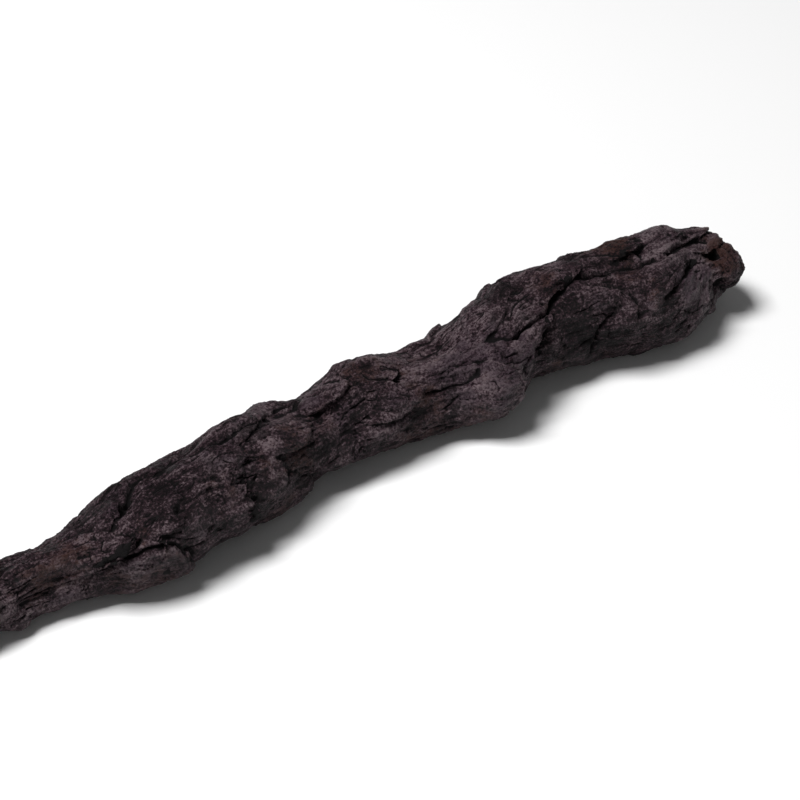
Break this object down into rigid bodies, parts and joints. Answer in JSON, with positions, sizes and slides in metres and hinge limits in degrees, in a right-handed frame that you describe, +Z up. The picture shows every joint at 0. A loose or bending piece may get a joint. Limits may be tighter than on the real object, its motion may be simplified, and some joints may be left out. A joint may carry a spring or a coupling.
{
  "type": "dried cistanche stem",
  "caption": "Whole dried cistanche stem: a long, slightly bent, knobbly body covered in overlapping scale leaves, cut flat at its base and blunt at its tip.",
  "frame": {"origin": "middle of the stem's footprint, on the surface that it rests on", "axes": "+X along the stem from its cut base to its tip, +Z up, the side that the picture shows towards -Y"},
  "size_m": [0.168, 0.0254, 0.0205],
  "materials": {
    "dried_flesh": "matte"
  },
  "bodies": {
    "root": {"scaly_stem": "dried_flesh"}
  },
  "joints": []
}
